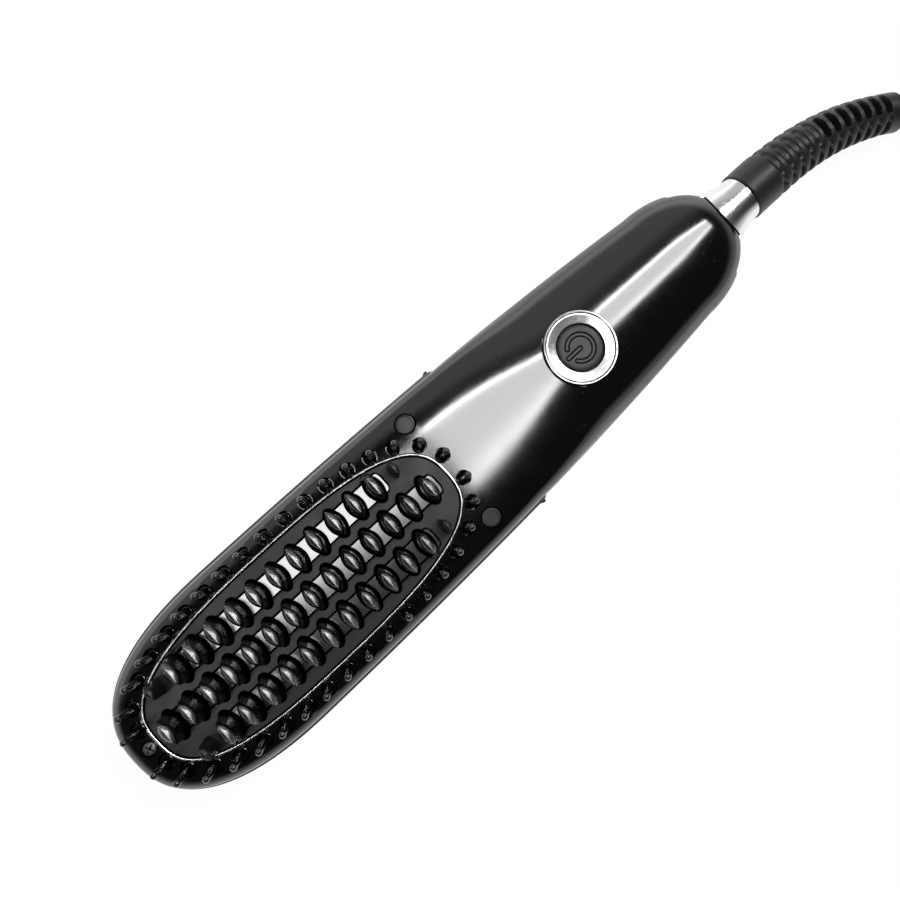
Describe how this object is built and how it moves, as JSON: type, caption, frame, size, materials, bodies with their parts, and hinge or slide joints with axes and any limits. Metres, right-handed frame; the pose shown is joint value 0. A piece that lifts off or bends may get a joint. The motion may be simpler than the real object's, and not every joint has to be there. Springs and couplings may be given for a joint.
{
  "type": "heated styling brush",
  "caption": "Heated styling brush with an oval bristle face, ringed guard pins, a round power button on a tapering handle and a coiled mains cord.",
  "frame": {"origin": "bottom centre of the brush and its tail collar, on the surface that the flat strip of the back rests on, measured without the cord", "axes": "+X from the brush tip to the cord, +Z out of the bristle face, +Y to the left when looking along +X with the bristles up"},
  "size_m": [0.4198, 0.0727, 0.0406],
  "materials": {
    "shell_satin_black": "satin moulded plastic, fine grain",
    "cover_gloss_black": "high gloss moulded plastic",
    "pin_black": "smooth heat-resistant plastic",
    "plate_black": "fine matte grain, heat resistant",
    "comb_coated": "dark ceramic-coated casting, semi gloss",
    "chrome_trim": "bright plated",
    "steel_zinc": "zinc plated",
    "brass_pins": "nickel plated brass",
    "button_black": "fine matte grain",
    "heater_ceramic": "bare ceramic",
    "film_amber": "amber insulating film",
    "clamp_steel": "bare spring steel",
    "board_green": "solder-masked laminate",
    "component_black": "moulded component case",
    "capacitor_blue": "dipped component case",
    "lamp_clear": "diffuse lamp lens",
    "plunger_white": "natural nylon",
    "lead_red": "silicone-insulated wire",
    "lead_blue": "insulated wire",
    "lead_white": "silicone-insulated wire",
    "cord_black": "flexible vinyl, satin"
  },
  "bodies": {
    "casing": {"lower_shell": "shell_satin_black", "top_cover": "cover_gloss_black", "tail_collar": "chrome_trim", "tip_screw": "steel_zinc", "cover_screw_left": "steel_zinc", "screw_plug_left": "cover_gloss_black", "cover_screw_right": "steel_zinc", "screw_plug_right": "cover_gloss_black", "guard_pin_ring": "pin_black", "face_plate": "plate_black", "heat_comb": "comb_coated", "comb_screw_1": "steel_zinc", "comb_screw_2": "steel_zinc", "comb_screw_3": "steel_zinc", "comb_screw_4": "steel_zinc", "heater_element": "heater_ceramic", "heater_film": "film_amber", "clamp_plate": "clamp_steel", "clamp_screw_1": "steel_zinc", "clamp_screw_2": "steel_zinc", "thermal_fuse": "lead_white", "temperature_sensor": "film_amber", "control_board": "board_green", "tact_switch": "component_black", "power_triac": "component_black", "film_capacitor": "capacitor_blue", "reservoir_capacitor": "component_black", "indicator_led": "lamp_clear", "board_screw_1": "steel_zinc", "board_screw_2": "steel_zinc", "button_bezel": "chrome_trim", "heater_lead_live": "lead_red", "heater_lead_neutral": "lead_white", "supply_lead_live": "lead_red", "supply_lead_neutral": "lead_blue", "sensor_lead": "lead_white"},
    "button": {"power_button": "button_black", "switch_plunger": "plunger_white"},
    "cord": {"swivel_hub": "plunger_white", "cord_boot": "cord_black", "cord_tail": "cord_black", "cord_coil": "cord_black", "cord_end": "cord_black", "plug_body": "cord_black", "plug_pin_live": "brass_pins", "plug_pin_neutral": "brass_pins"}
  },
  "joints": [
    {"name": "button_press", "type": "slide", "parent": "casing", "child": "button", "axis": [0, 0, -1], "range_m": [0, 0.0006], "stiffness_N_per_m": 2000},
    {"name": "cord_swivel", "type": "hinge", "parent": "casing", "child": "cord", "pos_m": [0.11685, 0, 0.014], "axis": [1, 0, 0], "continuous": true}
  ]
}
